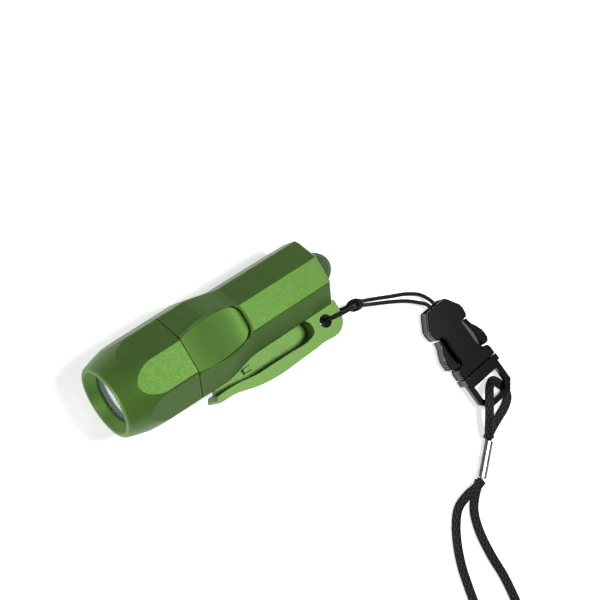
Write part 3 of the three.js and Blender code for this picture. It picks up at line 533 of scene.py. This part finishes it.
def true_flats(node, name):
    """A copy of a node's mesh whose flat faces are whole again"""
    mesh = frame["nodes"][node].data.copy()
    mesh.name = name
    work = bmesh.new()
    work.from_mesh(mesh)
    bmesh.ops.remove_doubles(work, verts=work.verts, dist=MERGE_DISTANCE)
    bmesh.ops.dissolve_limit(
        work, angle_limit=math.radians(FLAT_DEGREES), verts=work.verts, edges=work.edges, delimit=set())
    work.to_mesh(mesh)
    work.free()
    return mesh


def refined(node, name, finish, body, width, degrees=EDGE_DEGREES, flat_area=None):
    """A piece with a node's own shape, with true flats and rounded edges"""
    mesh = true_flats(node, name)
    smooth_by_angle(mesh, degrees)
    if flat_area:
        keep_flats_crisp(mesh, flat_area)
    item = show_mesh(name, mesh, finish, body)
    round_edges(item, width, degrees)
    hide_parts(node)


def raise_outline(work, outline, low, high):
    """A closed flat-sided body between two levels, in millimetres"""
    base = work.faces.new([work.verts.new((x * MM, y * MM, low * MM)) for x, y in outline])
    grown = bmesh.ops.extrude_face_region(work, geom=[base])["geom"]
    top = [item for item in grown if isinstance(item, bmesh.types.BMVert)]
    bmesh.ops.translate(work, verts=top, vec=(0, 0, (high - low) * MM))


def both_sides(half):
    """The whole outline of a form that is the same on either side of its middle line"""
    return [(x, -y) for x, y in half] + list(reversed(half))


def mirrored(outline, sign):
    placed = [(x, y * sign) for x, y in outline]
    return placed if sign > 0 else placed[::-1]


def from_joint(point):
    """A place in the frame's metres, from millimetres from the head joint"""
    return Vector(point) * MM + Vector((JOINT_X * MM, 0, 0))


def on_buckle(work, name):
    """Bakes the buckle's place into a mesh that was drawn along its own middle line"""
    bmesh.ops.recalc_face_normals(work, faces=work.faces)
    turn = Matrix.Rotation(math.radians(BUCKLE_TURN_DEGREES), 4, "Z")
    work.transform(Matrix.Translation(from_joint(BUCKLE_PLACE)) @ turn)
    mesh = as_mesh(work, name)
    smooth_by_angle(mesh, EDGE_DEGREES)
    return mesh


def socket_moulding():
    """Two skins with cut-away sides, joined by the shoulder and by a post at each rear corner"""
    work = bmesh.new()
    low, high = SOCKET_SKIN_LEVELS
    for bottom, top in ((low, high), (-high, -low)):
        raise_outline(work, both_sides(SOCKET_PLATE), bottom, top)
    for sign in (1, -1):
        raise_outline(work, mirrored(SOCKET_SHOULDER, sign), -low, low)
        raise_outline(work, mirrored(SOCKET_POST, sign), -low, low)
    return on_buckle(work, "socket_shell")


def prong_moulding(sign):
    """A springy arm with its thick finger pad and the pad's grip ribs"""
    work = bmesh.new()
    raise_outline(work, mirrored(PRONG_PAD, sign), -PRONG_HALF_HEIGHT, PRONG_HALF_HEIGHT)
    raise_outline(work, mirrored(PRONG_NECK, sign), -PRONG_NECK_HALF_HEIGHT, PRONG_NECK_HALF_HEIGHT)
    for i in range(GRIP_COUNT):
        front = GRIP_START + GRIP_PITCH * i
        rear = front + GRIP_WIDTH
        rib = [(front, GRIP_ROOT), (front, GRIP_TOP), (rear, GRIP_TOP), (rear, GRIP_ROOT)]
        raise_outline(work, mirrored(rib, sign), -GRIP_HALF_HEIGHT, GRIP_HALF_HEIGHT)
    return on_buckle(work, "prong_arm")


def through(points, steps):
    """Points of a centripetal curve through a route, in the frame's metres"""
    route = [from_joint(point) for point in points]
    ends = [2 * route[0] - route[1], *route, 2 * route[-1] - route[-2]]
    path = []
    for i in range(1, len(ends) - 2):
        corners = ends[i - 1:i + 3]
        knots = [0]
        for a, b in zip(corners, corners[1:]):
            knots.append(knots[-1] + math.sqrt((b - a).length))
        for step in range(steps):
            path.append(curve_point(corners, knots, knots[1] + (knots[2] - knots[1]) * step / steps))
    path.append(route[-1])
    return path


def curve_point(corners, knots, at):
    """One point of a centripetal span, by repeated blending of its four corners"""
    level = corners
    for spans in BLEND_LEVELS:
        level = [
            level[k] + (level[k + 1] - level[k]) * ((at - knots[a]) / (knots[b] - knots[a]))
            for k, (a, b) in enumerate(spans)
        ]
    return level[0]


def distances(path):
    """How far along a path each of its points lies"""
    travelled = [0]
    for a, b in zip(path, path[1:]):
        travelled.append(travelled[-1] + (b - a).length)
    return travelled


def sections(path, level):
    """Each point of a path with its sideways and upward directions, which twist only to stay level"""
    across = None
    placed = []
    for i, point in enumerate(path):
        ahead = (path[min(i + 1, len(path) - 1)] - path[max(i - 1, 0)]).normalized()
        if across is None or level:
            up = UP if abs(ahead.z) < STEEP_SHARE else Vector((0, 1, 0))
            across = ahead.cross(up).normalized()
        across = (across - ahead * across.dot(ahead)).normalized()
        placed.append((point, across, across.cross(ahead).normalized()))
    return placed


def section_ring(work, section, width, thickness, sides):
    """The points round one section of a cord"""
    point, across, lift = section
    ring = []
    for k in range(sides):
        turn = 2 * math.pi * k / sides
        offset = across * math.cos(turn) * width / 2 + lift * math.sin(turn) * thickness / 2
        ring.append(work.verts.new(point + offset))
    return ring


def sweep(name, path, width, thickness, sides, level=False):
    """A closed skin along a path, with its length and girth as a UV map; a level one lies flat all along"""
    work = bmesh.new()
    skin = work.loops.layers.uv.new("skin")
    travelled = distances(path)
    rings = [section_ring(work, section, width, thickness, sides) for section in sections(path, level)]
    for i in range(len(rings) - 1):
        for k in range(sides):
            n = (k + 1) % sides
            face = work.faces.new((rings[i][k], rings[i][n], rings[i + 1][n], rings[i + 1][k]))
            face.smooth = True
            for loop, (u, v) in zip(face.loops, ((i, k), (i, k + 1), (i + 1, k + 1), (i + 1, k))):
                loop[skin].uv = (travelled[u], v / sides)
    work.faces.new(rings[0][::-1])
    work.faces.new(rings[-1])
    bmesh.ops.recalc_face_normals(work, faces=work.faces)
    return as_mesh(work, name)


def lay_cord(name, node, route, width, thickness, kind):
    """A braided cord or strap that follows its route"""
    path = through(route, CORD_STEPS)
    mesh = sweep(name, path, width, thickness, CORD_SIDES, level=width > thickness)
    item = show_mesh(name, mesh, braid_finish(kind), "body")
    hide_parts(node)


def knot_path(middle, width):
    """The cord's turns round both of its runs, each laid slantwise along them"""
    along = Vector(KNOT_ALONG).normalized()
    side = along.cross(UP).normalized()
    rise = side.cross(along).normalized()
    path = []
    for i in range(KNOT_STEPS + 1):
        share = i / KNOT_STEPS
        turn = 2 * math.pi * KNOT_TURNS * share
        swell = 1 + KNOT_SWELL * math.sin(math.pi * share)
        shift = (share - 0.5) * KNOT_TURNS * KNOT_PITCH_SHARE + math.sin(turn) * KNOT_SLANT_SHARE
        path.append(
            middle + along * width * shift
            + side * width * KNOT_SIDE_SHARE * swell * math.cos(turn)
            + rise * width * KNOT_RISE_SHARE * swell * math.sin(turn))
    return path


def table_finish():
    """White paint that glows faintly to the camera, in metal and through glass, so that shadows stay pale"""
    finish = Finish("white_table", TABLE_COLOUR, TABLE_ROUGHNESS)
    finish.put("Specular IOR Level", TABLE_SHINE)
    finish.put("Emission Color", WHITE)
    path = finish.nodes.new("ShaderNodeLightPath")
    seen = path.outputs["Is Camera Ray"]
    for kind in ("Is Glossy Ray", "Is Transmission Ray"):
        seen = combined(finish.tree, "MAXIMUM", seen, path.outputs[kind])
    glow = combined(finish.tree, "MULTIPLY", seen, TABLE_GLOW)
    finish.links.new(glow, finish.shader.inputs["Emission Strength"])
    return finish.material


def lay_table():
    work = bmesh.new()
    bmesh.ops.create_grid(work, x_segments=1, y_segments=1, size=TABLE_REACH)
    item = bpy.data.objects.new("floor", as_mesh(work, "floor"))
    bpy.context.scene.collection.objects.link(item)
    item.data.materials.append(table_finish())


def hang_lamp(name, place, target, size, power):
    light = bpy.data.lights.new(name, "AREA")
    light.shape = "RECTANGLE"
    light.size, light.size_y = size
    light.energy = power
    item = bpy.data.objects.new(name, light)
    item.location = place
    item.rotation_euler = (Vector(target) - Vector(place)).to_track_quat("-Z", "Y").to_euler()
    bpy.context.scene.collection.objects.link(item)


class FLASHLIGHT_OT_stage(bpy.types.Operator):
    """Set the camera, the soft lights and the white table"""

    bl_idname = "flashlight.stage"
    bl_label = "Stage"

    def execute(self, context):
        scene = context.scene
        scene.view_settings.view_transform = "Standard"
        self.place_camera(scene)
        lay_table()
        self.light_room(scene)
        return {"FINISHED"}

    def place_camera(self, scene):
        lens = bpy.data.cameras.new("photo_camera")
        lens.sensor_fit = "HORIZONTAL"
        lens.angle = math.radians(CAMERA_VIEW_DEGREES)
        lens.clip_start = CAMERA_CLIP_START
        camera = bpy.data.objects.new("photo_camera", lens)
        turn = Matrix((CAMERA_RIGHT, CAMERA_UP, CAMERA_BACK)).transposed()
        camera.matrix_world = Matrix.Translation(CAMERA_PLACE) @ turn.to_4x4()
        scene.collection.objects.link(camera)
        scene.camera = camera

    def light_room(self, scene):
        world = bpy.data.worlds.new("pale_room")
        world.use_nodes = True
        background = world.node_tree.nodes["Background"]
        background.inputs["Color"].default_value = WHITE
        background.inputs["Strength"].default_value = ROOM_STRENGTH
        scene.world = world
        for name, settings in LAMPS.items():
            hang_lamp(name, *settings)


class FLASHLIGHT_OT_buckle(bpy.types.Operator):
    """Finish the buckle, its prongs and the crimped sleeve"""

    bl_idname = "flashlight.buckle"
    bl_label = "Buckle"

    def execute(self, context):
        small = sizes().fine_round
        black = buckle_finish()
        bright = material("bright_sleeve", metal, SLEEVE_METAL, roughness=0.28, brush=(2, 1, 1))
        refined("buckle_plug", "buckle_plug_moulding", black, "body", sizes().edge_round)
        self.dress("buckle_socket", socket_moulding(), "body")
        self.dress("buckle_prong_left", prong_moulding(1), "prong_left")
        self.dress("buckle_prong_right", prong_moulding(-1), "prong_right")
        refined("ferrule", "crimp_sleeve", bright, "body", small)
        return {"FINISHED"}

    def dress(self, node, mesh, body):
        item = show_mesh(f"{node}_moulding", mesh, buckle_finish(), body)
        round_edges(item, sizes().edge_round, EDGE_DEGREES)
        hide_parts(node)


class FLASHLIGHT_OT_lanyard(bpy.types.Operator):
    """Lay the thin cord, the flat strap and the cord's knot"""

    bl_idname = "flashlight.lanyard"
    bl_label = "Lanyard"

    def execute(self, context):
        made = bpy.data.objects
        thin = sizes().cord_width
        knot = self.tie_knot()
        for name, node, route in (
                ("thin_cord_upper", "cord_upper", UPPER_ROUTE),
                ("thin_cord_lower", "cord_lower", LOWER_ROUTE)):
            lay_cord(name, node, route, thin, thin, THIN_BRAID)
        sleeve = [made["crimp_sleeve"]]
        plug = [made[f"buckle_{part}_moulding"] for part in ("plug", "prong_left", "prong_right")]
        for name, node, route, pieces in (
                ("strap_neck", "neck_strap", NECK_ROUTE, sleeve + plug),
                ("strap_wrist", "wrist_strap", WRIST_ROUTE, sleeve)):
            lay_cord(
                name, node, route, sizes().strap_width, sizes().strap_thickness, FLAT_BRAID)
        return {"FINISHED"}

    def tie_knot(self):
        low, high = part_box("cord_knot")
        width = sizes().cord_width
        path = knot_path((Vector(low) + Vector(high)) / 2, width)
        mesh = sweep("tied_knot", path, width, width, KNOT_SIDES)
        item = show_mesh("tied_knot", mesh, braid_finish(THIN_BRAID), "body")
        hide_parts("cord_knot")
        return item


class FLASHLIGHT_OT_case(bpy.types.Operator):
    """Finish the barrel and the head"""

    bl_idname = "flashlight.case"
    bl_label = "Case"

    def execute(self, context):
        finish = case_finish()
        width = sizes().edge_round
        refined("main_housing", "barrel_case", finish, "body", width, flat_area=LARGE_FLAT)
        refined(
            "head_shell", "head_case", finish, "head", width, HEAD_EDGE_DEGREES,
            flat_area=LARGE_FLAT)
        self.lay_bead("scoop_bead_upper", 1)
        self.lay_bead("scoop_bead_lower", -1)
        return {"FINISHED"}

    def lay_bead(self, name, sign):
        """A thin raised bead round the thumb scoop above or below the axis"""
        half = [(x, y, AXIS_Z + (z - BEAD_SINK - AXIS_Z) * sign) for x, y, z in SCOOP_BORDER]
        other = [(x, -y, z) for x, y, z in reversed(half[:-1])]
        width = sizes().bead_width
        mesh = sweep(name, through(half + other, BEAD_STEPS), width, width, BEAD_SIDES)
        item = show_mesh(name, mesh, case_finish(), "body")


class FLASHLIGHT_OT_lever(bpy.types.Operator):
    """Finish the squeeze lever"""

    bl_idname = "flashlight.lever"
    bl_label = "Lever"

    def execute(self, context):
        finish = material("lever_plastic", lacquered_plastic, tuple(colours().lever), roughness=0.43)
        refined("squeeze_lever", "lever_moulding", finish, "lever", sizes().fine_round)
        return {"FINISHED"}


class FLASHLIGHT_OT_lamps(bpy.types.Operator):
    """Finish the lens, the reflector and the lamps"""

    bl_idname = "flashlight.lamps"
    bl_label = "Lamps"

    def execute(self, context):
        small = sizes().fine_round
        mirror = material("bright_mirror", bright_mirror)
        clear = material("lens_clear", clear_resin, LENS_CLEAR, roughness=0.03, opacity=0.1)
        resin = material("lamp_resin", clear_resin, LAMP_CLEAR, roughness=0.04, opacity=0.5)
        refined("reflector", "reflector_cup", mirror, "head", small)
        refined("lens", "lens_disc", clear, "head", small)
        for number in (1, 2, 3):
            refined(f"lamp_{number}", f"lamp_dome_{number}", resin, "head", small / 2)
        paint_node("lamp_board", material("lamp_circuit", circuit_board))
        return {"FINISHED"}


class FLASHLIGHT_OT_button(bpy.types.Operator):
    """Finish the rubber tail button"""

    bl_idname = "flashlight.button"
    bl_label = "Tail button"

    def execute(self, context):
        rubber = material("button_rubber", soft_rubber, tuple(colours().button))
        refined("tail_button", "button_dome", rubber, "button", sizes().fine_round)
        return {"FINISHED"}


class FLASHLIGHT_OT_insides(bpy.types.Operator):
    """Finish the mechanism and the electrics inside the case"""

    bl_idname = "flashlight.insides"
    bl_label = "Insides"

    def execute(self, context):
        for finish, nodes in (*self.metal_parts(), *self.moulded_parts()):
            for node in nodes:
                paint_node(node, finish)
        return {"FINISHED"}

    def metal_parts(self):
        """Each metal finish with the nodes that take it"""
        steel = material("plain_steel", metal, STEEL, roughness=0.28, brush=(1, 1, 8))
        brass = material("plain_brass", metal, BRASS, roughness=0.3)
        magnet = material("magnet_grey", metal, MAGNET_GREY, roughness=0.45)
        copper = material("copper_wire", metal, COPPER, roughness=0.3, brush=(1, 9, 1))
        turned = ("lever_pin", "return_spring", "idler_shaft", "rotor_shaft", "stator_core", "storage_cell")
        return (
            (steel, turned),
            (brass, ("cell_spring", "rotor_pinion")),
            (magnet, ("rotor_magnet",)),
            (copper, ("stator_coil",)),
        )

    def moulded_parts(self):
        """Each plastic or rubber finish with the nodes that take it"""
        black = material("matte_black", moulded_plastic, PLATE_BLACK, roughness=0.5)
        white = material("gear_white", moulded_plastic, GEAR_WHITE, roughness=0.45)
        rubber = material("black_rubber", soft_rubber, SEAL_BLACK)
        return (
            (black, ("lower_gear_plate", "upper_gear_plate", "tail_switch", "switch_carrier")),
            (white, ("idler_gear",)),
            (rubber, ("seal_ring",)),
        )


class FLASHLIGHT_PT_panel(bpy.types.Panel):
    """Lists the steps that dress the flashlight, and its settings"""

    bl_label = "Flashlight"
    bl_idname = "FLASHLIGHT_PT_panel"
    bl_space_type = "VIEW_3D"
    bl_region_type = "UI"
    bl_category = "Flashlight"

    def draw(self, context):
        for step in STEPS:
            self.layout.operator(step.bl_idname)
        for group in (colours(), sizes()):
            box = self.layout.box()
            for key in group.bl_rna.properties.keys():
                if key not in {"rna_type", "name"}:
                    box.prop(group, key)


STEPS = (
    FLASHLIGHT_OT_stage,
    FLASHLIGHT_OT_buckle,
    FLASHLIGHT_OT_lanyard,
    FLASHLIGHT_OT_case,
    FLASHLIGHT_OT_lever,
    FLASHLIGHT_OT_lamps,
    FLASHLIGHT_OT_button,
    FLASHLIGHT_OT_insides,
)
CLASSES = (FlashlightColours, FlashlightSizes, *STEPS, FLASHLIGHT_PT_panel)


def register():
    for item in CLASSES:
        bpy.utils.register_class(item)
    bpy.types.Scene.flashlight_colours = PointerProperty(type=FlashlightColours)
    bpy.types.Scene.flashlight_sizes = PointerProperty(type=FlashlightSizes)


def unregister():
    del bpy.types.Scene.flashlight_sizes
    del bpy.types.Scene.flashlight_colours
    for item in reversed(CLASSES):
        bpy.utils.unregister_class(item)


def main():
    register()
    bpy.ops.flashlight.stage()
    bpy.ops.flashlight.buckle()
    bpy.ops.flashlight.lanyard()
    bpy.ops.flashlight.case()
    bpy.ops.flashlight.lever()
    bpy.ops.flashlight.lamps()
    bpy.ops.flashlight.button()
    bpy.ops.flashlight.insides()


if __name__ == "__main__":
    main()
